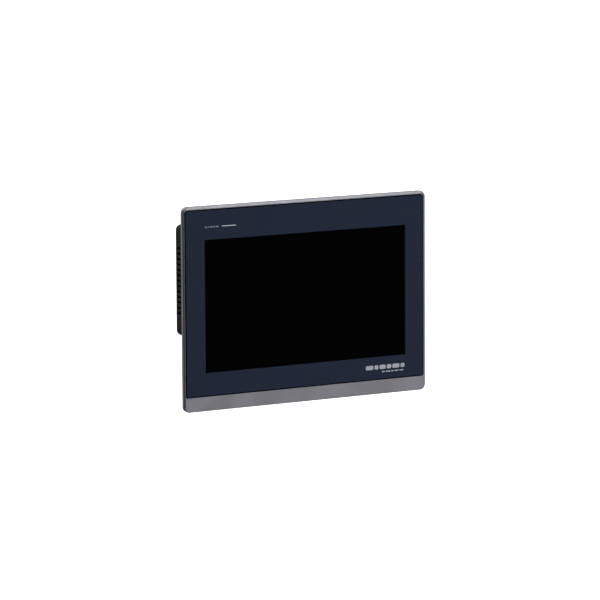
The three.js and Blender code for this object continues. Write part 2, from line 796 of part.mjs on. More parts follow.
// The cable half: a nose inside the header, and a body below it with a wire hole and a clamp screw for
// each pole. z = 0 is the header's mouth.
function powerPlug() {
  const noseWidth = header.width - 2 * header.wall - 2 * slideGap;
  const noseDepth = header.depth - 2 * header.wall - 2 * slideGap;
  const bodyTop = -mouthRecess - slideGap;
  const bodyBottom = bodyTop - plug.bodyHeight;
  const front = headerY - plug.bodyDepth / 2;
  const rear = headerY + plug.bodyDepth / 2;
  const nose = span(
    -noseWidth / 2,
    noseWidth / 2,
    headerY - noseDepth / 2,
    headerY + noseDepth / 2,
    bodyTop - 1,
    header.reach - slideGap - 0.5,
  );
  const body = span(-header.width / 2, header.width / 2, front, rear, bodyBottom, bodyTop);
  const grip = [-header.width / 2, header.width / 2].map((x) =>
    span(x - 0.5, x + 0.5, front + 3, rear - 3, bodyBottom + 3, bodyTop - 3),
  );
  const screwZ = bodyTop - plug.screwBelow;
  const hole = plug.wireHole / 2;
  const pin = plug.socket;
  const boreFloor = rear - clampScrew.length - clampScrew.recess - 0.2;
  return cut(
    joined(nose, body),
    ...grip,
    ...poles.map((x) => span(x - pin, x + pin, headerY - pin, headerY + pin, 1, 20)),
    ...poles.map((x) =>
      span(x - hole, x + hole, headerY - hole, headerY + hole, bodyBottom - 1, bodyBottom + plug.wireReach),
    ),
    ...poles.map((x) => rodY(plug.screwBore, boreFloor, rear + 1, x, screwZ, 16)),
  );
}

// A slotted clamp screw along Y, its head at y = 0.
function clampScrewSolid() {
  return cut(
    rodY(clampScrew.radius, -clampScrew.length, 0, 0, 0, 16),
    slab(2 * clampScrew.radius + 1, clampScrew.slotWidth, -clampScrew.slotDepth, 1),
  );
}

place(sockets, "ethernet_jack_1", modularJack(), sheetSteel, ports.ethernetA);
place(sockets, "ethernet_jack_2", modularJack(), sheetSteel, ports.ethernetB);
place(sockets, "serial_jack", modularJack(), chipBlack, ports.serialJack);
place(sockets, "serial_connector", serialConnector(), sheetSteel, ports.serial, 0, -mouthRecess + seatGap);
[-1, 1].forEach((side, i) =>
  place(
    sockets,
    `serial_jack_post_${i + 1}`,
    jackPost(),
    sheetSteel,
    ports.serial + (side * dSubBody.screwPitch) / 2,
    dSubY,
    -mouthRecess,
  ),
);
[ports.hostA, ports.hostB].forEach((x, i) => {
  const port = usbPort(usbHost, usbHost.tongue, usbHost.tongueInset);
  place(sockets, `usb_host_port_${i + 1}`, port, sheetSteel, x);
});
place(sockets, "usb_device_port", usbPort(usbDevice, 0.7, 0.8), sheetSteel, ports.device);
place(sockets, "power_header", powerHeader(), plugGreen, ports.power);
place(sockets, "power_plug", powerPlug(), plugGreen, ports.power);
const plugRear = headerY + plug.bodyDepth / 2;
const clampScrewZ = -mouthRecess - slideGap - plug.screwBelow;
poles.forEach((x, i) =>
  place(
    sockets,
    `terminal_screw_${i + 1}`,
    clampScrewSolid(),
    sheetSteel,
    ports.power + x,
    plugRear - clampScrew.recess,
    clampScrewZ,
  ),
);

// ---------------------------------------------------------------- rear housing

const socketRear = boardBack + seatGap;

// The openings in the housing's underside, as [x, width, depth].
const underside = [
  [ports.ethernetA, jack.width, jack.depth],
  [ports.ethernetB, jack.width, jack.depth],
  [ports.serialJack, jack.width, jack.depth],
  [ports.hostA, usbHost.width, usbHost.depth],
  [ports.hostB, usbHost.width, usbHost.depth],
  [ports.device, usbDevice.width, usbDevice.depth],
  [ports.power, header.width, header.depth],
];

// Where a mounting clamp hooks in, as [x, z, x direction outwards, z direction outwards].
const clampX = trayWidth / 2 - clampSlot.fromEnd;
const clampPlaces = [
  [-clampX, trayHeight / 2, 0, 1],
  [clampX, trayHeight / 2, 0, 1],
  [-clampX, -trayHeight / 2, 0, -1],
  [clampX, -trayHeight / 2, 0, -1],
  [-trayWidth / 2, 0, -1, 0],
  [trayWidth / 2, 0, 1, 0],
];

// A block that goes into the tray's wall at a clamp place, from inside the wall outwards.
function clampBlock([x, z, outX, outZ], grow, reach, y0, y1) {
  const half = clampSlot.length / 2 + grow;
  const across = outX === 0;
  const [inX, inZ] = [x - outX * reach, z - outZ * reach];
  const [endX, endZ] = [x + outX * (grow ? -0.5 : 1), z + outZ * (grow ? -0.5 : 1)];
  return across
    ? span(x - half, x + half, y0, y1, Math.min(inZ, endZ), Math.max(inZ, endZ))
    : span(Math.min(inX, endX), Math.max(inX, endX), y0, y1, z - half, z + half);
}

function shellOutside() {
  const trayOutline = roundedRectangle(trayWidth, trayHeight, tray.corner);
  const boxOutline = roundedRectangle(boxWidth, box.height, box.corner);
  return joined(
    softPrism(trayOutline, bezelBack + seatGap, tray.depth, tray.edgeRound, "rear"),
    softPrism(boxOutline, tray.depth - tray.wall, box.depth, box.edgeRound, "rear", 0, boxZ),
  );
}

function shellInside() {
  const floor = tray.depth - tray.wall;
  return joined(
    slab(trayWidth - 2 * tray.wall, trayHeight - 2 * tray.wall, bezelBack - 1, floor),
    slab(boxWidth - 2 * box.wall, box.height - 2 * box.wall, floor - 1, boxInnerBack, 0, boxZ),
  );
}

function ventCuts() {
  const ventBack = box.depth - vent.fromBack;
  const ventFront = ventBack - vent.length;
  const middle = (vent.count - 1) / 2;
  const sides = Array.from({ length: vent.count }, (_, i) => boxZ + (i - middle) * vent.pitch).flatMap((z) =>
    [-1, 1].map((side) => {
      const wallX = (side * boxWidth) / 2;
      return span(wallX - 4, wallX + 4, ventFront, ventBack, z - vent.height / 2, z + vent.height / 2);
    }),
  );
  const topMiddle = (vent.topCount - 1) / 2;
  const top = Array.from({ length: vent.topCount }, (_, i) => (i - topMiddle) * vent.topPitch).map((x) =>
    span(x - vent.topWidth / 2, x + vent.topWidth / 2, ventFront, ventBack, boxTop - 4, boxTop + 4),
  );
  return [...sides, ...top];
}

function portCuts() {
  const gap = slideGap;
  const [z0, z1] = [boxBottom - 1, boxBottom + box.wall + 1];
  const plain = underside.map(([x, width, depth]) =>
    span(x - width / 2 - gap, x + width / 2 + gap, socketRear - gap, socketRear + depth + gap, z0, z1),
  );
  const [w, d] = [dSub.shellWidth / 2 + gap, dSub.shellDepth / 2 + gap];
  const y = socketRear + dSubY;
  const spread = dSubBody.screwPitch / 2;
  const posts = [-spread, spread].map((x) => rodZ(1.9, z0, z1, ports.serial + x, y, 12));
  return [...plain, span(ports.serial - w, ports.serial + w, y - d, y + d, z0, z1), ...posts];
}

const bayInnerWidth = bay.width - 2 * bay.wall;
const bayInnerHeight = bay.height - 2 * bay.wall;
const hingeY = box.depth - door.thickness / 2;
const hingeZ = bayZ + bay.height / 2 - bay.cornerGap - door.thickness / 2;
const pinEnd = bay.width / 2 + door.pinReach;

// The service bay: a closed well in the rear wall, with a ledge for the door and sockets for its pin.
function bayLiner() {
  const wide = bay.width + 2 * bay.wall + 2 * door.pinReach;
  return slab(wide, bay.height + 2 * bay.wall, bayFloor - bay.wall, box.depth - 1, bay.x, bayZ);
}

function bayCuts() {
  const doorFloor = box.depth - door.thickness - slideGap;
  return [
    slab(bay.width, bay.height, doorFloor, box.depth + 1, bay.x, bayZ),
    slab(bayInnerWidth, bayInnerHeight, bayFloor, box.depth, bay.x, bayZ),
    rodX(door.pin + 0.1, bay.x - pinEnd - 0.2, bay.x + pinEnd + 0.2, hingeY, hingeZ),
    slab(door.notch, 5, box.depth - door.thickness - slideGap, box.depth + 1, bay.x, bayZ - bay.height / 2),
  ];
}

function rearHousing() {
  const floor = tray.depth - tray.wall;
  const slotRear = clampSlot.front + clampSlot.width;
  const lined = joined(
    cut(shellOutside(), shellInside()),
    bayLiner(),
    ...clampPlaces.map((at) =>
      clampBlock(
        at,
        clampSlot.liner,
        clampSlot.depth + clampSlot.liner,
        clampSlot.front - clampSlot.liner,
        floor + 0.5,
      ),
    ),
  );
  const headSeat = tray.depth - caseScrew.headHeight + 0.4;
  return cut(
    lined,
    ...clampPlaces.map((at) => clampBlock(at, 0, clampSlot.depth, clampSlot.front, slotRear)),
    ...caseScrewPlaces.map(([x, z]) => rodY(caseScrew.shank + 0.3, floor - 1, tray.depth + 1, x, z)),
    ...caseScrewPlaces.map(([x, z]) => rodY(caseScrew.head + slideGap, headSeat, tray.depth + 1, x, z)),
    slab(
      label.width + 2 * slideGap,
      label.height + 2 * slideGap,
      box.depth - label.sink,
      box.depth + 1,
      label.x,
      boxTop - label.fromTop,
    ),
    ...ventCuts(),
    ...portCuts(),
    ...bayCuts(),
  );
}

place(panel, "rear_housing", rearHousing(), blackPlastic);
caseScrewPlaces.forEach(([x, z], i) =>
  place(
    panel,
    `housing_screw_${i + 1}`,
    screw(caseScrew),
    sheetSteel,
    x,
    tray.depth - caseScrew.headHeight + 0.4 + seatGap,
    z,
  ),
);
place(
  panel,
  "rating_label",
  slab(label.width, label.height, 0, label.thickness),
  labelWhite,
  label.x,
  box.depth - label.sink + 0.05,
  boxTop - label.fromTop,
);

// ---------------------------------------------------------------- service bay: door, battery, switches

const service = station(bay.x, 0, bayZ);
const leafWidth = bay.width - 2 * bay.cornerGap;
const leafBottom = -bay.height / 2 + bay.cornerGap;

// A flap with a rolled top edge round its hinge pin and a lip to lift it by.
function serviceDoor() {
  const axisZ = hingeZ - bayZ;
  const roll = door.thickness / 2;
  const leaf = span(-leafWidth / 2, leafWidth / 2, box.depth - door.thickness, box.depth, leafBottom, axisZ);
  const rolled = rodX(roll, -leafWidth / 2, leafWidth / 2, hingeY, axisZ);
  const lipEnd = door.notch / 2 - 0.8;
  const lip = span(-lipEnd, lipEnd, hingeY, box.depth, leafBottom - door.lip, leafBottom + 1);
  const bore = rodX(door.pin + 0.08, -leafWidth, leafWidth, hingeY, axisZ);
  return cut(joined(leaf, rolled, lip), bore);
}

function batteryHolder() {
  const outer = cell.radius + slideGap + cell.holderWall;
  const height = cell.holderFloor + cell.thickness * 0.8;
  return cut(
    rodY(outer, 0, height, 0, 0, 28),
    rodY(cell.radius + slideGap, cell.holderFloor, height + 1, 0, 0, 28),
    slab(9, 8, cell.holderFloor, height + 1, 0, -outer),
  );
}

function switchBlock() {
  const run = dip.lever + dip.travel + 0.4;
  const grooves = leverPlaces.map((z) => slab(run, 1.2, dip.depth - 1.3, dip.depth + 1, 0, z));
  return cut(slab(dip.width, dip.height, 0, dip.depth), ...grooves);
}

const leverPlaces = Array.from({ length: dip.slots }, (_, i) => ((dip.slots - 1) / 2 - i) * dip.pitch);
const bayGround = bayFloor + seatGap;
place(service, "service_door", serviceDoor(), blackPlastic);
place(
  service,
  "door_hinge_pin",
  rodX(door.pin, -pinEnd, pinEnd, 0, 0),
  sheetSteel,
  0,
  hingeY,
  hingeZ - bayZ,
);
place(service, "battery_holder", batteryHolder(), chipBlack, cell.x, bayGround, cell.z);
place(
  service,
  "coin_cell",
  rodY(cell.radius, 0, cell.thickness, 0, 0, 28),
  sheetSteel,
  cell.x,
  bayGround + cell.holderFloor + seatGap,
  cell.z,
);
place(service, "dip_switch_block", switchBlock(), dipRed, dip.x, bayGround, dip.z);
leverPlaces.forEach((z, i) =>
  place(
    service,
    `dip_lever_${i + 1}`,
    slab(dip.lever, 0.9, 0, 1.6),
    whitePlastic,
    dip.x - dip.travel / 2,
    bayGround + dip.depth - 1.2,
    dip.z + z,
  ),
);

export default panel;
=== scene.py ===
import math

import bmesh
import bpy
from mathutils import Matrix, Vector


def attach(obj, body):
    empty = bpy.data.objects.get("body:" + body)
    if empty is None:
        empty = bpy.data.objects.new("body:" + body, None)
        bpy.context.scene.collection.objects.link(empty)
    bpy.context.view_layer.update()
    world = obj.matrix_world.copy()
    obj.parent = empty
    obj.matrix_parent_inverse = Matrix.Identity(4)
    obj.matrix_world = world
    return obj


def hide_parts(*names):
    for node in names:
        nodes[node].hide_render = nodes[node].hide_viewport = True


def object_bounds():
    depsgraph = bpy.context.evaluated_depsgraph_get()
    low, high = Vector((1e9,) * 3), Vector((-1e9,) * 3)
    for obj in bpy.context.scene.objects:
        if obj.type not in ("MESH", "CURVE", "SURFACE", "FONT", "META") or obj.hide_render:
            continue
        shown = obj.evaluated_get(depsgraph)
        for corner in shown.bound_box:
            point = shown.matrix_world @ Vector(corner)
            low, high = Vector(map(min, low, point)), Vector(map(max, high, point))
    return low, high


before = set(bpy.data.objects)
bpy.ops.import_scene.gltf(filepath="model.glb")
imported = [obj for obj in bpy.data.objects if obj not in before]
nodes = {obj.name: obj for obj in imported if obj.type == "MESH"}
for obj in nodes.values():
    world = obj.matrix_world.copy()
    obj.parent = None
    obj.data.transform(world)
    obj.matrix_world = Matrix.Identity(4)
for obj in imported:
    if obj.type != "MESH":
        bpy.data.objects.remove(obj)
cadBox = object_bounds()
mm = 0.001
print("frame loaded with", len(nodes), "CAD nodes")

# camera, floor and light

shot = {
    "lens": 234.28,
    "azimuth": -29.25,
    "elevation": 8.27,
    "roll": -0.326,
    "distance": 3.8047,
    "target": (0, 0.0018, 0),
    "shift": (-0.00495, -0.00068),
}


def placeCamera():
    a, e, r = (math.radians(shot[k]) for k in ("azimuth", "elevation", "roll"))
    back = Vector((math.sin(a) * math.cos(e), -math.cos(a) * math.cos(e), math.sin(e)))
    level = Vector((math.cos(a), math.sin(a), 0))
    rise = back.cross(level)
    right = level * math.cos(r) + rise * math.sin(r)
    up = rise * math.cos(r) - level * math.sin(r)
    camera = bpy.data.objects.new("camera", bpy.data.cameras.new("camera"))
    turn = Matrix((right, up, back)).transposed().to_4x4()
    camera.matrix_world = Matrix.Translation(Vector(shot["target"]) + back * shot["distance"]) @ turn
    camera.data.lens = shot["lens"]
    camera.data.sensor_width = 36
    camera.data.shift_x, camera.data.shift_y = shot["shift"]
    camera.data.clip_end = 1500
    bpy.context.collection.objects.link(camera)
    bpy.context.scene.camera = camera


studio = {
    "nadir": 0.45,
    "horizon": 0.15,
    "zenith": 1.5,
    "floorColor": (0.8, 0.8, 0.8, 1),
    "floorGlow": 0.9,
    "floorBelow": 3.4,
    "floorSize": 700,
    "lights": {
        "softKey": {"power": 118, "size": 4.4, "start": (3.9, -5.3, -0.2)},
        "topSoft": {"power": 62, "size": 2.2, "start": (1.95, -2.45, 2.6)},
        "sideGlow": {"power": 27, "size": 3.0, "start": (-2.6, 3.6, 0.5)},
        "rearHigh": {"power": 80, "size": 2.6, "start": (-0.6, 3.4, 3.8)},
        "rearLow": {"power": 95, "size": 3.0, "start": (2.3, 4.2, -1.5)},
    },
}


def addLight(name, power, size, start):
    lamp = bpy.data.lights.new(name, "AREA")
    lamp.energy, lamp.size = power, size
    light = bpy.data.objects.new(name, lamp)
    light.location = start
    light.rotation_euler = Vector(start).to_track_quat("Z", "Y").to_euler()
    light.visible_camera = False
    bpy.context.collection.objects.link(light)


def addNode(tree, kind, where=(0, 0), **settings):
    node = tree.nodes.new(kind)
    node.location = where
    for key, value in settings.items():
        setattr(node, key, value)
    return node


def lightStudio():
    world = bpy.data.worlds.new("studio")
    bpy.context.scene.world = world
    world.use_nodes = True
    tree = world.node_tree
    background = tree.nodes["Background"]
    place = addNode(tree, "ShaderNodeTexCoord", (-900, 0))
    split = addNode(tree, "ShaderNodeSeparateXYZ", (-700, 0))
    total = addNode(tree, "ShaderNodeMath", (-250, 0), operation="ADD")
    tree.links.new(place.outputs["Generated"], split.inputs[0])
    sides = ((0.28, 0.9, studio["horizon"], studio["zenith"]), (0.0, -1.0, 0.0, studio["nadir"]))
    for i, levels in enumerate(sides):
        ramp = addNode(tree, "ShaderNodeMapRange", (-500, -300 * i), interpolation_type="SMOOTHSTEP")
        tree.links.new(split.outputs["Z"], ramp.inputs["Value"])
        for label, level in zip(("From Min", "From Max", "To Min", "To Max"), levels):
            ramp.inputs[label].default_value = level
        tree.links.new(ramp.outputs["Result"], total.inputs[i])
    background.inputs["Color"].default_value = (1, 1, 1, 1)
    sight = addNode(tree, "ShaderNodeLightPath", (-250, 300))
    shown = addNode(tree, "ShaderNodeMix", (0, 0), data_type="FLOAT")
    tree.links.new(sight.outputs["Is Camera Ray"], shown.inputs[0])
    tree.links.new(total.outputs[0], shown.inputs[2])
    shown.inputs[3].default_value = 1.0  # the backdrop itself is plain white
    tree.links.new(shown.outputs[0], background.inputs["Strength"])
    for name, light in studio["lights"].items():
        addLight(name, **light)


def layFloor():
    mesh = bpy.data.meshes.new("floor")
    reach, z = studio["floorSize"] / 2, cadBox[0].z - studio["floorBelow"]
    rim = [(-reach, -reach, z), (reach, -reach, z), (reach, reach, z), (-reach, reach, z)]
    mesh.from_pydata(rim, [], [(0, 1, 2, 3)])
    floor = bpy.data.objects.new("floor", mesh)
    material = bpy.data.materials.new("floorPaint")
    material.use_nodes = True
    shader = material.node_tree.nodes["Principled BSDF"]
    shader.inputs["Base Color"].default_value = studio["floorColor"]
    shader.inputs["Emission Color"].default_value = studio["floorColor"]
    shader.inputs["Emission Strength"].default_value = studio["floorGlow"]
    shader.inputs["Roughness"].default_value = 0.9
    shader.inputs["Specular IOR Level"].default_value = 0.1
    mesh.materials.append(material)
    bpy.context.collection.objects.link(floor)
    floor.visible_diffuse = floor.visible_glossy = False  # the panel hangs clear of it


bpy.context.scene.view_settings.view_transform = "Standard"
placeCamera()
lightStudio()
layFloor()
print("camera, floor and light placed")

# shared effects: each group gives a mask or a height that changes over the surface


def newGroup(name, takes, gives):
    tree = bpy.data.node_groups.new(name, "ShaderNodeTree")
    for label, value in takes.items():
        socket = tree.interface.new_socket(name=label, in_out="INPUT", socket_type="NodeSocketFloat")
        socket.default_value = value
    for label in gives:
        tree.interface.new_socket(name=label, in_out="OUTPUT", socket_type="NodeSocketFloat")
    return tree, addNode(tree, "NodeGroupInput", (-1000, 0)), addNode(tree, "NodeGroupOutput", (600, 0))


def arithmetic(tree, operation, first, second, where=(0, 0), clamp=False):
    node = addNode(tree, "ShaderNodeMath", where, operation=operation, use_clamp=clamp)
    for socket, value in zip(node.inputs, (first, second)):
        if isinstance(value, (int, float)):
            socket.default_value = value
        else:
            tree.links.new(value, socket)
    return node.outputs[0]


def noise(tree, scale, where, detail=3.0, vector=None, rough=0.55):
    node = addNode(tree, "ShaderNodeTexNoise", where)
    node.inputs["Detail"].default_value = detail
    node.inputs["Roughness"].default_value = rough
    if isinstance(scale, (int, float)):
        node.inputs["Scale"].default_value = scale
    else:
        tree.links.new(scale, node.inputs["Scale"])
    if vector is None:
        vector = addNode(tree, "ShaderNodeTexCoord", (where[0] - 200, where[1])).outputs["Object"]
    tree.links.new(vector, node.inputs["Vector"])
    return node.outputs["Fac"]


def ramped(tree, value, low, high, where, lowOut=0.0, highOut=1.0):
    node = addNode(tree, "ShaderNodeMapRange", where, interpolation_type="SMOOTHSTEP")
    tree.links.new(value, node.inputs["Value"])
    ends = {"From Min": low, "From Max": high, "To Min": lowOut, "To Max": highOut}
    for label, number in ends.items():
        if isinstance(number, (int, float)):
            node.inputs[label].default_value = number
        else:
            tree.links.new(number, node.inputs[label])
    return node.outputs["Result"]


def makeGrain():
    tree, given, out = newGroup("mouldedGrain", {"Scale": 2500.0}, ["Height", "Spread"])
    cells = addNode(tree, "ShaderNodeTexVoronoi", (-400, 100), feature="SMOOTH_F1")
    place = addNode(tree, "ShaderNodeTexCoord", (-700, 100))
    tree.links.new(place.outputs["Object"], cells.inputs["Vector"])
    tree.links.new(given.outputs["Scale"], cells.inputs["Scale"])
    finer = arithmetic(tree, "MULTIPLY", given.outputs["Scale"], 1.7, (-600, -200))
    fine = noise(tree, finer, (-400, -200), 4.0)
    lower = arithmetic(tree, "MULTIPLY", cells.outputs["Distance"], 0.6, (-100, 100))
    height = arithmetic(tree, "ADD", lower, fine, (100, 0))
    tree.links.new(height, out.inputs["Height"])
    spread = ramped(tree, noise(tree, 38.0, (-400, -500), 5.0), 0.3, 0.7, (100, -400))
    tree.links.new(spread, out.inputs["Spread"])
    return tree


def makeWear():
    tree, given, out = newGroup("edgeWear", {"Radius": 0.0004, "Amount": 0.5}, ["Mask"])
    rounded = addNode(tree, "ShaderNodeBevel", (-700, 200), samples=6)
    plain = addNode(tree, "ShaderNodeNewGeometry", (-700, -100))
    tree.links.new(given.outputs["Radius"], rounded.inputs["Radius"])
    dot = addNode(tree, "ShaderNodeVectorMath", (-450, 100), operation="DOT_PRODUCT")
    tree.links.new(rounded.outputs["Normal"], dot.inputs[0])
    tree.links.new(plain.outputs["Normal"], dot.inputs[1])
    turned = arithmetic(tree, "SUBTRACT", 1.0, dot.outputs["Value"], (-250, 100))
    edge = ramped(tree, turned, 0.02, 0.22, (-50, 100))
    patchy = ramped(tree, noise(tree, 420.0, (-300, -250), 6.0), 0.44, 0.62, (-50, -200))
    worn = arithmetic(tree, "MULTIPLY", edge, patchy, (200, 0))
    mask = arithmetic(tree, "MULTIPLY", worn, given.outputs["Amount"], (400, 0), True)
    tree.links.new(mask, out.inputs["Mask"])
    return tree


def makeDust():
    tree, given, out = newGroup("settledDust", {"Amount": 0.3}, ["Mask"])
    plain = addNode(tree, "ShaderNodeNewGeometry", (-700, 100))
    split = addNode(tree, "ShaderNodeSeparateXYZ", (-500, 100))
    tree.links.new(plain.outputs["Normal"], split.inputs[0])
    upward = ramped(tree, split.outputs["Z"], 0.35, 1.0, (-300, 100))
    patchy = ramped(tree, noise(tree, 75.0, (-300, -200), 8.0, rough=0.7), 0.36, 0.7, (-50, -200))
    resting = arithmetic(tree, "MULTIPLY", upward, patchy, (150, 0))
    mask = arithmetic(tree, "MULTIPLY", resting, given.outputs["Amount"], (350, 0), True)
    tree.links.new(mask, out.inputs["Mask"])
    return tree


def makeBrushing():
    tree, given, out = newGroup("drawnLines", {"Scale": 900.0}, ["Height", "Spread"])
    place = addNode(tree, "ShaderNodeTexCoord", (-900, 0))
    stretch = addNode(tree, "ShaderNodeMapping", (-700, 0))
    stretch.inputs["Scale"].default_value = (0.03, 1, 1)
    tree.links.new(place.outputs["Object"], stretch.inputs["Vector"])
    lines = noise(tree, given.outputs["Scale"], (-400, 0), 4.0, stretch.outputs["Vector"])
    tree.links.new(lines, out.inputs["Height"])
    tree.links.new(ramped(tree, lines, 0.3, 0.7, (0, -200)), out.inputs["Spread"])
    return tree


def makeSmudges():
    tree, given, out = newGroup("fingerSmudges", {"Amount": 0.5}, ["Mask"])
    broad = ramped(tree, noise(tree, 16.0, (-400, 200), 3.0), 0.5, 0.68, (-100, 200))
    streaks = ramped(tree, noise(tree, 210.0, (-400, -200), 6.0), 0.35, 0.75, (-100, -200), 0.35, 1.0)
    both = arithmetic(tree, "MULTIPLY", broad, streaks, (100, 0))
    mask = arithmetic(tree, "MULTIPLY", both, given.outputs["Amount"], (350, 0), True)
    tree.links.new(mask, out.inputs["Mask"])
    return tree


effects = {
    "grain": makeGrain(),
    "wear": makeWear(),
    "dust": makeDust(),
    "lines": makeBrushing(),
    "smudges": makeSmudges(),
}
print("shared effects built:", ", ".join(effects))

# finishes: each is one dictionary, and the sockets that stay the same are set on the shader


def useEffect(tree, kind, where, **values):
    node = addNode(tree, "ShaderNodeGroup", where, node_tree=effects[kind])
    for label, value in values.items():
        node.inputs[label].default_value = value
    return node


def blendColor(tree, mask, under, over, where):
    node = addNode(tree, "ShaderNodeMix", where, data_type="RGBA")
    tree.links.new(mask, node.inputs["Factor"])
    for socket, color in ((node.inputs["A"], under), (node.inputs["B"], over)):
        if isinstance(color, (tuple, list)):
            socket.default_value = (*color, 1)
        else:
            tree.links.new(color, socket)
    return node.outputs["Result"]


def makeFinish(name, look):
    material = bpy.data.materials.new(name)
    material.use_nodes = True
    tree = material.node_tree
    shader = tree.nodes["Principled BSDF"]
    pattern = useEffect(tree, look.get("pattern", "grain"), (-1100, 200), Scale=look["scale"])
    color = blendColor(tree, pattern.outputs["Spread"], look["color"], look["tone"], (-700, 300))
    roughness = ramped(tree, pattern.outputs["Spread"], 0.0, 1.0, (-700, 0), *look["roughness"])
    if "smudge" in look:
        touched = useEffect(tree, "smudges", (-1100, -200), Amount=look["smudge"])
        rougher = arithmetic(tree, "MULTIPLY", touched.outputs["Mask"], 0.22)
        roughness = arithmetic(tree, "ADD", roughness, rougher, (-400, -100))
    if "wear" in look:
        radius = look.get("wearRadius", 0.0004)
        worn = useEffect(tree, "wear", (-1100, -400), Radius=radius, Amount=look["wear"])
        color = blendColor(tree, worn.outputs["Mask"], color, look["wearColor"], (-450, 300))
    if "dust" in look:
        dusty = useEffect(tree, "dust", (-1100, -600), Amount=look["dust"])
        grey = look.get("dustColor", (0.35, 0.34, 0.32))
        color = blendColor(tree, dusty.outputs["Mask"], color, grey, (-250, 300))
    tree.links.new(color, shader.inputs["Base Color"])
    tree.links.new(roughness, shader.inputs["Roughness"])
    bump = addNode(tree, "ShaderNodeBump", (-250, -300))
    bump.inputs["Strength"].default_value = look.get("bump", 0.3)
    bump.inputs["Distance"].default_value = look.get("depth", 0.02) * mm
    tree.links.new(pattern.outputs["Height"], bump.inputs["Height"])
    if look.get("round"):
        softened = addNode(tree, "ShaderNodeBevel", (-500, -500), samples=6)
        softened.inputs["Radius"].default_value = look["round"] * mm
        tree.links.new(softened.outputs["Normal"], bump.inputs["Normal"])
    tree.links.new(bump.outputs["Normal"], shader.inputs["Normal"])
    shader.inputs["Metallic"].default_value = look.get("metallic", 0.0)
    shader.inputs["Specular IOR Level"].default_value = look.get("specular", 0.5)
    shader.inputs["Coat Weight"].default_value = look.get("coat", 0.0)
    shader.inputs["Coat Roughness"].default_value = look.get("coatRoughness", 0.1)
    shader.inputs["Emission Strength"].default_value = look.get("glow", 0.0)
    return material


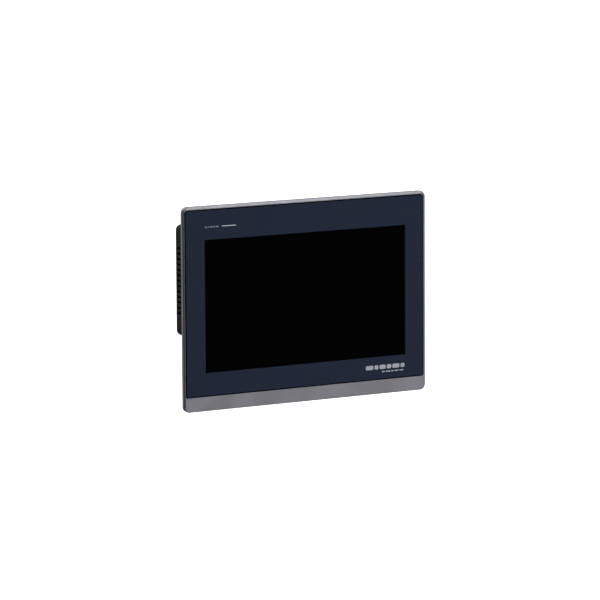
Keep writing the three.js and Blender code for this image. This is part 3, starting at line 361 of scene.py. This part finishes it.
finishes = {
    "silverPaint": makeFinish("silverPaint", {
        "color": (0.124, 0.123, 0.139), "tone": (0.134, 0.133, 0.149),
        "roughness": (0.28, 0.38), "metallic": 0.78,
        "scale": 3800.0, "bump": 0.22, "depth": 0.012, "specular": 0.4,
        "wear": 0.35, "wearColor": (0.2, 0.2, 0.215), "dust": 0.12,
    }),
    "navyFilm": makeFinish("navyFilm", {
        "color": (0.0108, 0.0172, 0.0360), "tone": (0.0118, 0.0187, 0.0385), "roughness": (0.5, 0.62),
        "scale": 5200.0, "bump": 0.2, "depth": 0.006, "specular": 0.09, "smudge": 0.25,
        "wear": 0.2, "wearColor": (0.03, 0.036, 0.06), "wearRadius": 0.0002,
    }),
    "windowBlack": makeFinish("windowBlack", {
        "color": (0.00025, 0.00025, 0.0003), "tone": (0.0003, 0.0003, 0.0004), "roughness": (0.1, 0.16),
        "scale": 600.0, "bump": 0.02, "depth": 0.002, "specular": 0.004, "smudge": 0.5,
    }),
    "gapShade": makeFinish("gapShade", {
        "color": (0.0035, 0.004, 0.006), "tone": (0.004, 0.005, 0.007), "roughness": (0.8, 0.9),
        "scale": 2000.0, "specular": 0.05,
    }),
    "markInk": makeFinish("markInk", {
        "color": (0.33, 0.35, 0.4), "tone": (0.38, 0.4, 0.45), "roughness": (0.5, 0.65),
        "scale": 4200.0, "bump": 0.2, "depth": 0.004, "specular": 0.3,
    }),
    "labelMark": makeFinish("labelMark", {
        "color": (0.13, 0.145, 0.175), "tone": (0.15, 0.165, 0.2), "roughness": (0.5, 0.65),
        "scale": 4200.0, "bump": 0.2, "depth": 0.004, "specular": 0.2,
    }),
    "portInk": makeFinish("portInk", {
        "color": (0.2, 0.205, 0.215), "tone": (0.26, 0.265, 0.275), "roughness": (0.5, 0.65),
        "scale": 2600.0, "bump": 0.2, "depth": 0.005, "dust": 0.1,
    }),
    "lightBar": makeFinish("lightBar", {
        "color": (0.36, 0.38, 0.43), "tone": (0.42, 0.44, 0.5), "roughness": (0.25, 0.35),
        "scale": 1500.0, "specular": 0.4,
    }),
    "blackRubber": makeFinish("blackRubber", {
        "color": (0.008, 0.008, 0.009), "tone": (0.014, 0.014, 0.015), "roughness": (0.75, 0.9),
        "scale": 1500.0, "bump": 0.5, "depth": 0.03, "specular": 0.3, "dust": 0.3,
    }),
    "blackPlastic": makeFinish("blackPlastic", {
        "color": (0.0058, 0.0066, 0.0098), "tone": (0.0078, 0.0088, 0.0125), "roughness": (0.5, 0.66),
        "scale": 1400.0, "bump": 0.55, "depth": 0.035, "specular": 0.085, "round": 0.35,
        "wear": 0.4, "wearColor": (0.02, 0.021, 0.026), "dust": 0.03,
    }),
    "chipBlack": makeFinish("chipBlack", {
        "color": (0.010, 0.010, 0.012), "tone": (0.016, 0.016, 0.018), "roughness": (0.45, 0.6),
        "scale": 2600.0, "bump": 0.3, "round": 0.15, "wear": 0.3, "wearColor": (0.04, 0.04, 0.045),
    }),
    "zincSteel": makeFinish("zincSteel", {
        "color": (0.42, 0.43, 0.44), "tone": (0.52, 0.52, 0.5), "roughness": (0.28, 0.45), "metallic": 1.0,
        "pattern": "lines", "scale": 700.0, "bump": 0.15, "depth": 0.01, "round": 0.15,
        "wear": 0.4, "wearColor": (0.7, 0.7, 0.68), "dust": 0.2,
    }),
    "nickelShell": makeFinish("nickelShell", {
        "color": (0.5, 0.49, 0.46), "tone": (0.58, 0.57, 0.53), "roughness": (0.22, 0.36), "metallic": 1.0,
        "pattern": "lines", "scale": 1600.0, "bump": 0.04, "depth": 0.005, "round": 0.12,
        "wear": 0.3, "wearColor": (0.75, 0.74, 0.7),
    }),
    "goldContact": makeFinish("goldContact", {
        "color": (0.72, 0.46, 0.16), "tone": (0.8, 0.54, 0.22), "roughness": (0.2, 0.32), "metallic": 1.0,
        "scale": 3000.0, "bump": 0.08, "depth": 0.004,
    }),
    "aluminium": makeFinish("aluminium", {
        "color": (0.5, 0.51, 0.52), "tone": (0.6, 0.6, 0.6), "roughness": (0.35, 0.5), "metallic": 1.0,
        "pattern": "lines", "scale": 900.0, "round": 0.2, "wear": 0.4, "wearColor": (0.75, 0.75, 0.75),
    }),
    "greenPlug": makeFinish("greenPlug", {
        "color": (0.012, 0.16, 0.045), "tone": (0.018, 0.2, 0.06), "roughness": (0.42, 0.56),
        "scale": 1900.0, "bump": 0.35, "round": 0.25, "wear": 0.4,
        "wearColor": (0.08, 0.32, 0.15), "dust": 0.2,
    }),
    "labelFoil": makeFinish("labelFoil", {
        "color": (0.56, 0.565, 0.56), "tone": (0.59, 0.595, 0.59), "roughness": (0.42, 0.5),
        "scale": 2200.0, "bump": 0.1, "smudge": 0.3,
    }),
    "labelInk": makeFinish("labelInk", {
        "color": (0.02, 0.02, 0.022), "tone": (0.035, 0.035, 0.037), "roughness": (0.5, 0.6), "scale": 3000.0,
    }),
    "circuitBoard": makeFinish("circuitBoard", {
        "color": (0.008, 0.075, 0.03), "tone": (0.012, 0.1, 0.042), "roughness": (0.3, 0.42),
        "scale": 900.0, "bump": 0.2, "round": 0.1,
    }),
    "copperFilm": makeFinish("copperFilm", {
        "color": (0.35, 0.12, 0.02), "tone": (0.45, 0.17, 0.03),
        "roughness": (0.25, 0.35), "scale": 900.0, "coat": 0.4,
    }),
    "whitePlastic": makeFinish("whitePlastic", {
        "color": (0.72, 0.72, 0.69), "tone": (0.78, 0.78, 0.75),
        "roughness": (0.35, 0.5), "scale": 2400.0, "round": 0.12,
        "wear": 0.2, "wearColor": (0.85, 0.85, 0.83),
    }),
    "redPlastic": makeFinish("redPlastic", {
        "color": (0.32, 0.014, 0.016), "tone": (0.4, 0.022, 0.022),
        "roughness": (0.4, 0.52), "scale": 2200.0, "round": 0.15,
        "wear": 0.2, "wearColor": (0.5, 0.12, 0.1),
    }),
    "greyFoam": makeFinish("greyFoam", {
        "color": (0.03, 0.03, 0.032), "tone": (0.06, 0.06, 0.062),
        "roughness": (0.9, 1.0), "scale": 900.0, "bump": 0.8,
        "depth": 0.1,
    }),
    "clearGlass": makeFinish("clearGlass", {
        "color": (0.05, 0.06, 0.065), "tone": (0.07, 0.08, 0.085),
        "roughness": (0.04, 0.08), "scale": 300.0, "coat": 0.8,
        "bump": 0.02,
    }),
    "greenLens": makeFinish("greenLens", {
        "color": (0.06, 0.35, 0.08), "tone": (0.08, 0.42, 0.1),
        "roughness": (0.15, 0.25), "scale": 1200.0, "coat": 0.5,
    }),
    "amberLens": makeFinish("amberLens", {
        "color": (0.55, 0.3, 0.03), "tone": (0.62, 0.36, 0.05),
        "roughness": (0.15, 0.25), "scale": 1200.0, "coat": 0.5,
    }),
}
print("finishes made:", len(finishes))

# smooth shading for pieces and CAD nodes alike: sharp over the stated angle, flat faces kept flat


def makeSmoothing():
    tree = bpy.data.node_groups.new("smoothCurves", "GeometryNodeTree")
    tree.interface.new_socket(name="Geometry", in_out="INPUT", socket_type="NodeSocketGeometry")
    limit = tree.interface.new_socket(name="Limit", in_out="INPUT", socket_type="NodeSocketFloat")
    limit.default_value = math.radians(34)
    tree.interface.new_socket(name="Geometry", in_out="OUTPUT", socket_type="NodeSocketGeometry")
    given, out = addNode(tree, "NodeGroupInput", (-600, 0)), addNode(tree, "NodeGroupOutput", (600, 0))
    faces = addNode(tree, "GeometryNodeSetShadeSmooth", (-200, 0), domain="FACE")
    edges = addNode(tree, "GeometryNodeSetShadeSmooth", (200, 0), domain="EDGE")
    angle = addNode(tree, "GeometryNodeInputMeshEdgeAngle", (-400, -200))
    flat = addNode(tree, "FunctionNodeCompare", (-200, -200), data_type="FLOAT", operation="LESS_EQUAL")
    tree.links.new(given.outputs["Geometry"], faces.inputs["Geometry"])
    tree.links.new(faces.outputs["Geometry"], edges.inputs["Geometry"])
    tree.links.new(angle.outputs["Unsigned Angle"], flat.inputs["A"])
    tree.links.new(given.outputs["Limit"], flat.inputs["B"])
    tree.links.new(flat.outputs["Result"], edges.inputs["Shade Smooth"])
    tree.links.new(edges.outputs["Geometry"], out.inputs["Geometry"])
    return tree


smoothing = makeSmoothing()


def smoothed(item):
    weld = item.modifiers.new("weld", "WELD")
    weld.merge_threshold = 0.000002
    curves = item.modifiers.new("smooth", "NODES")
    curves.node_group = smoothing
    weighted = item.modifiers.new("weighted", "WEIGHTED_NORMAL")
    weighted.keep_sharp = True
    return item


def dress(node, finish):
    item = nodes[node]
    item.data.materials.clear()
    item.data.materials.append(finishes[finish])
    smoothed(item)


def finishPiece(name, mesh, finish, body="panel", stands=()):
    item = bpy.data.objects.new(name, mesh)
    bpy.context.collection.objects.link(item)
    mesh.materials.append(finishes[finish])
    smoothed(item)
    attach(item, body)
    if stands:
        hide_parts(*stands)
    return item


# an outline in X and Z at one depth, with its own radius on the top and the bottom corners


def outline(width, height, top, bottom, y, middle=0.0, steps=14, shift=0.0):
    w, h = width / 2, height / 2
    quarters = [(w - top, h - top, top, 0), (-w + top, h - top, top, 90)]
    quarters += [(-w + bottom, -h + bottom, bottom, 180), (w - bottom, -h + bottom, bottom, 270)]
    points = []
    for x, z, radius, start in quarters:
        for i in range(steps + 1):
            turn = math.radians(start + 90 * i / steps)
            across, up = x + radius * math.cos(turn), z + radius * math.sin(turn)
            points.append(Vector((shift + across, y, middle + up)) * mm)
    return points


def loft(name, loops, closed=True):
    shape = bmesh.new()
    rows = [[shape.verts.new(p) for p in loop] for loop in loops]
    pairs = list(zip(rows, rows[1:])) + ([(rows[-1], rows[0])] if closed else [])
    for first, second in pairs:
        count = len(first)
        for i in range(count):
            j = (i + 1) % count
            shape.faces.new((first[i], first[j], second[j], second[i]))
    if not closed:
        shape.faces.new(rows[0])
        shape.faces.new(rows[-1])
    bmesh.ops.recalc_face_normals(shape, faces=shape.faces)
    mesh = bpy.data.meshes.new(name)
    shape.to_mesh(mesh)
    shape.free()
    return mesh


# bezel: rounded rim on three sides, a broad flat strip below, and a recess for the film

bezel = {
    "width": 270, "height": 199, "corner": 6, "back": -0.8, "front": -5.4, "rimDepth": 1.5,
    "rimSide": 1.6, "rimTop": 2.7, "rimBottom": 0.9, "rimFlatness": 1.65, "rimSteps": 9, "rearRound": 0.3,
    "sideLip": 1.95, "topLip": 3.15, "chin": 14.1, "webReach": 8,
    "recessFloor": -4.05, "recessCorner": 3.8, "recessCornerLow": 2.5, "recessRound": 0.12,
    "recessShift": -0.42,
}


def bezelLoop(side, top, bottom, y):
    high, low = (bezel["corner"] - max(side, end) for end in (top, bottom))
    size = (bezel["width"] - 2 * side, bezel["height"] - top - bottom)
    return outline(*size, high, low, y, (bottom - top) / 2)


def recessLoop(grow, y):
    width = bezel["width"] - 2 * bezel["sideLip"] + 2 * grow
    height = bezel["height"] - bezel["topLip"] - bezel["chin"] + 2 * grow
    middle = (bezel["chin"] - bezel["topLip"]) / 2
    corners = (bezel["recessCorner"] + grow, bezel["recessCornerLow"] + grow)
    return outline(width, height, *corners, y, middle, shift=bezel["recessShift"] if grow > -1 else 0.0)


def makeBezel():
    loops = [recessLoop(-bezel["webReach"], bezel["back"])]
    for i in range(4):
        turn = math.radians(30 * i)
        inset = bezel["rearRound"] * (1 - math.sin(turn))
        y = bezel["back"] - bezel["rearRound"] * (1 - math.cos(turn))
        loops.append(bezelLoop(inset, inset, inset, y))
    for i in range(bezel["rimSteps"] + 1):
        turn = math.pi / 2 * i / bezel["rimSteps"]
        across, rise = (max(f(turn), 0) ** bezel["rimFlatness"] for f in (math.cos, math.sin))
        curve = 1 - math.sqrt(1 - rise * rise)  # sides and bottom are rounder than the top
        insets = (bezel["rimSide"] * curve, bezel["rimTop"] * (1 - across), bezel["rimBottom"] * curve)
        loops.append(bezelLoop(*insets, bezel["front"] + bezel["rimDepth"] * (1 - rise)))
    for i in range(4):
        turn = math.radians(30 * i)
        r = bezel["recessRound"]
        loops.append(recessLoop(r * (1 - math.sin(turn)), bezel["front"] + r * (1 - math.cos(turn))))
    floor = bezel["recessFloor"]
    loops += [recessLoop(0, floor), recessLoop(-bezel["webReach"], floor)]
    mesh = loft("bezelMoulding", loops)
    finishPiece("bezelMoulding", mesh, "silverPaint", stands=["bezel_frame"])


# film: printed navy sheet with a window opening and rounded edges, and the dark window flush in it; the
# near-black backing under the sheet and the plate on the recess floor are painted shade for the groove round
# the film

film = {
    "front": -5.38, "sheetBack": -5.05, "back": -4.2, "groove": 1.15, "edgeRound": 0.12,
    "windowWidth": 223.1, "windowHeight": 129.1, "windowMiddle": 2.3, "windowCorner": 0.35,
    "backingInset": 0.06, "paneGap": 0.04, "paneRound": 0.06, "shadePlateWidth": 3, "shadePlateHalf": 0.02,
}


def filmLoop(inset, y):
    return recessLoop(-film["groove"] - inset, y)


def windowLoop(inset, y):
    corner = film["windowCorner"]
    width, height = film["windowWidth"] - 2 * inset, film["windowHeight"] - 2 * inset
    return outline(width, height, corner, corner, y, film["windowMiddle"])


def roundedFront(loopAt, front, rounding):
    loops = []
    for i in range(5):
        turn = math.radians(22.5 * i)
        loops.append(loopAt(rounding * (1 - math.cos(turn)), front + rounding * (1 - math.sin(turn))))
    return loops


def makeFilm():
    loops = [filmLoop(0, film["sheetBack"])] + roundedFront(filmLoop, film["front"], film["edgeRound"])
    loops += [windowLoop(0, film["front"]), windowLoop(0, film["sheetBack"])]
    finishPiece("frontFilm", loft("frontFilm", loops), "navyFilm", stands=["touch_overlay"])
    # near-black backing under the sheet: its sides are painted shade in the groove between the film and the
    # bezel lip
    depths = (film["sheetBack"] + 0.01, film["back"])
    inset, gap = film["backingInset"], film["paneGap"]
    loops = [filmLoop(inset, y) for y in depths] + [windowLoop(0, y) for y in reversed(depths)]
    mesh = loft("filmShadeBacking", loops)
    finishPiece("filmShadeBacking", mesh, "gapShade", stands=["touch_overlay"])
    pane = [windowLoop(gap, film["back"])]
    pane += roundedFront(lambda i, y: windowLoop(gap + i, y), film["front"], film["paneRound"])
    mesh = loft("windowPane", pane, False)
    finishPiece("windowPane", mesh, "windowBlack", stands=["display_window"])
    # near-black plate on the recess floor: painted shade at the bottom of the groove round the film
    half, wide = film["shadePlateHalf"], film["shadePlateWidth"]
    y0, y1 = bezel["recessFloor"] - half, bezel["recessFloor"] + half
    groove = [recessLoop(-half, y0), recessLoop(-wide, y0), recessLoop(-wide, y1), recessLoop(-half, y1)]
    finishPiece("grooveShadePlate", loft("grooveShadePlate", groove), "gapShade")


# plain marks: they spell nothing

marks = {
    "front": -5.4, "sink": 0.06,
    "label": {"x": -111.2, "z": 79.1, "height": 1.7, "gap": 0.7, "widths": (2.6, 1.8, 2.9, 2.1, 2.8)},
    "badge": {"x": 66.4, "z": -72.6, "height": 4.2, "gap": 1.3, "widths": (8.6, 4.4, 7.0, 5.2, 8.0, 4.6)},
    "underline": {"x": 84.6, "z": -77.4, "height": 1.1, "gap": 1.1, "widths": (3.4, 5.2, 2.6, 4.4, 4.8)},
}


def plates(name, shapes, y0, y1, rounding=0.3):
    whole = bmesh.new()
    for x, z, wide, tall in shapes:
        corner = min(wide, tall) * rounding
        rows = []
        for y in (y0, y1):
            ring = outline(wide, tall, corner, corner, y, z, 5)
            rows.append([whole.verts.new(p + Vector((x, 0, 0)) * mm) for p in ring])
        count = len(rows[0])
        for i in range(count):
            j = (i + 1) % count
            whole.faces.new((rows[0][i], rows[0][j], rows[1][j], rows[1][i]))
        whole.faces.new(rows[0])
        whole.faces.new(rows[1])
    bmesh.ops.recalc_face_normals(whole, faces=whole.faces)
    mesh = bpy.data.meshes.new(name)
    whole.to_mesh(mesh)
    whole.free()
    return mesh


def makeMarks():
    for kind in ("label", "badge", "underline"):
        row, shapes = marks[kind], []
        x = row["x"]
        for wide in row["widths"]:
            shapes.append((x + wide / 2, row["z"], wide, row["height"]))
            x += wide + row["gap"]
        mesh = plates(f"{kind}Marks", shapes, marks["front"] + marks["sink"], marks["front"], 0.32)
        finishPiece(f"{kind}Marks", mesh, "labelMark" if kind == "label" else "markInk")


makeBezel()
makeFilm()
makeMarks()
print("front built")

# rear: label print, moulded port frames and ribs, socket contacts and lamps

rear = {
    "labelFace": 46.45, "printDepth": 0.04, "labelX": 8, "labelZ": 26.3, "trayBack": 12.0, "underside": -31.7,
    "ribsX": (-108, -65, -22, 21, 64, 108), "ribTop": -46, "ribLow": -80, "ribWidth": 1.8, "ribHeight": 1.1,
    "ports": {61: 12, 41: 12, 16: 12, -17: 20, -53: 9, -71: 9, -90: 7},
    "jacks": (61, 41, 16), "jackFace": -31.4, "contactY": (16.05, 16.3), "contactZ": (-28.6, -20.6),
    "skirtOuter": (264, 193), "skirtInner": (247, 177), "skirtY": (-0.78, -0.68),
}


def labelPrint():
    x, z = rear["labelX"], rear["labelZ"]
    shapes = [(x, z + side * 25, 88, 0.5) for side in (-1, 1)]
    shapes += [(x + side * 44, z, 0.5, 50.5) for side in (-1, 1)]
    shapes += [(x, z + 12, 88, 0.35), (x - 8, z - 7, 0.35, 38)]
    shapes += [(x - 30 + 9 * i, z + 18.5, 7, 3.6) for i in range(3)]
    shapes += [(x + 12 + 6.2 * i, z - 1.5 - 5.2 * row, 5.2, 1.1) for row in range(4) for i in range(5)]
    shapes += [(x - 33 + 10 * i, z - 20, 7.4, 1.2) for i in range(3)]
    shapes += [(x - 40 + 2.1 * i, z - 3, 0.6 + 0.5 * (i * 7 % 3), 22) for i in range(14)]
    y1 = rear["labelFace"] + rear["printDepth"]
    mesh = plates("labelPrint", shapes, rear["labelFace"] - 0.02, y1, 0.05)
    finishPiece("labelPrint", mesh, "labelInk")


def portFrames():
    bars, z = [], rear["underside"] - 8
    for x, wide in rear["ports"].items():
        bars += [(x, z + 2.6, wide, 0.6), (x, z - 2.6, wide, 0.6)]
        bars += [(x - wide / 2, z, 0.6, 5.8), (x + wide / 2, z, 0.6, 5.8), (x, z, wide * 0.4, 1.2)]
    y0 = rear["trayBack"]
    frames = plates("portFrames", bars, y0 - 0.2, y0 + 0.3, 0.4)
    finishPiece("portFrames", frames, "portInk")
    middle, length = (rear["ribTop"] + rear["ribLow"]) / 2, rear["ribTop"] - rear["ribLow"]
    bars = [(x, middle, rear["ribWidth"], length) for x in rear["ribsX"]]
    ribs = plates("trayRibs", bars, y0 - 0.2, y0 + rear["ribHeight"], 0.45)
    finishPiece("trayRibs", ribs, "blackPlastic")


def rearSkirt():
    wide, narrow = rear["skirtOuter"], rear["skirtInner"]
    y0, y1 = rear["skirtY"]
    loops = [outline(*wide, 4, 4, y) for y in (y0, y1)]
    loops += [outline(*narrow, 2, 2, y) for y in (y1, y0)]
    finishPiece("rearSkirt", loft("rearSkirt", loops), "blackPlastic")


def socketInsides():
    wires, lamps = [], []
    low, high = rear["contactZ"]
    for jackX in rear["jacks"]:
        wires += [(jackX + (i - 3.5) * 1.02, (low + high) / 2, 0.46, high - low) for i in range(8)]
    mesh = plates("jackContacts", wires, *rear["contactY"], 0.4)
    finishPiece("jackContacts", mesh, "goldContact")
    for name, finish, side in (("linkLamps", "greenLens", -1), ("trafficLamps", "amberLens", 1)):
        whole = bmesh.new()
        for jackX in rear["jacks"][:2]:
            x, z = jackX + side * 6.95, rear["jackFace"]
            made = bmesh.ops.create_cube(whole, size=1)["verts"]
            for vert in made:
                vert.co = Vector((x + vert.co.x * 1.5, 14.6 + vert.co.y * 2.6, z + vert.co.z * 0.4)) * mm
        edges = whole.edges[:]
        bmesh.ops.bevel(whole, geom=edges, offset=0.12 * mm, segments=2, affect="EDGES", profile=0.5)
        mesh = bpy.data.meshes.new(name)
        whole.to_mesh(mesh)
        whole.free()
        finishPiece(name, mesh, finish)


labelPrint()
portFrames()
rearSkirt()
socketInsides()
print("rear details built")

# CAD nodes that keep their shape

dressing = {
    "panel_gasket": "blackRubber", "status_light_bar": "lightBar", "status_led_board": "circuitBoard",
    "touch_glass": "clearGlass", "lcd_cell": "clearGlass", "lcd_bezel": "zincSteel",
    "lcd_back_tray": "zincSteel",
    "light_guide": "whitePlastic", "backlight_strip": "labelFoil", "lcd_foam_seal": "greyFoam",
    "chassis_plate": "zincSteel", "main_board": "circuitBoard", "processor": "chipBlack",
    "heat_sink": "aluminium",
    "memory_chip": "chipBlack", "input_capacitor": "chipBlack", "power_coil": "chipBlack",
    "buzzer": "chipBlack",
    "display_flex": "copperFilm", "touch_flex": "copperFilm", "ethernet_jack_1": "nickelShell",
    "ethernet_jack_2": "nickelShell", "serial_jack": "chipBlack", "serial_connector": "nickelShell",
    "serial_jack_post_1": "nickelShell", "serial_jack_post_2": "nickelShell",
    "usb_host_port_1": "nickelShell",
    "usb_host_port_2": "nickelShell", "usb_device_port": "nickelShell", "power_header": "greenPlug",
    "power_plug": "greenPlug", "rear_housing": "blackPlastic", "rating_label": "labelFoil",
    "service_door": "blackPlastic", "door_hinge_pin": "zincSteel", "battery_holder": "chipBlack",
    "coin_cell": "zincSteel", "dip_switch_block": "redPlastic",
}
for kind in ("chassis_screw", "board_screw", "housing_screw"):
    dressing.update({f"{kind}_{i}": "zincSteel" for i in range(1, 5)})
dressing.update({f"terminal_screw_{i}": "nickelShell" for i in range(1, 4)})
dressing.update({f"dip_lever_{i}": "whitePlastic" for i in range(1, 5)})

for node, finish in dressing.items():
    dress(node, finish)
print("CAD nodes dressed:", len(dressing))
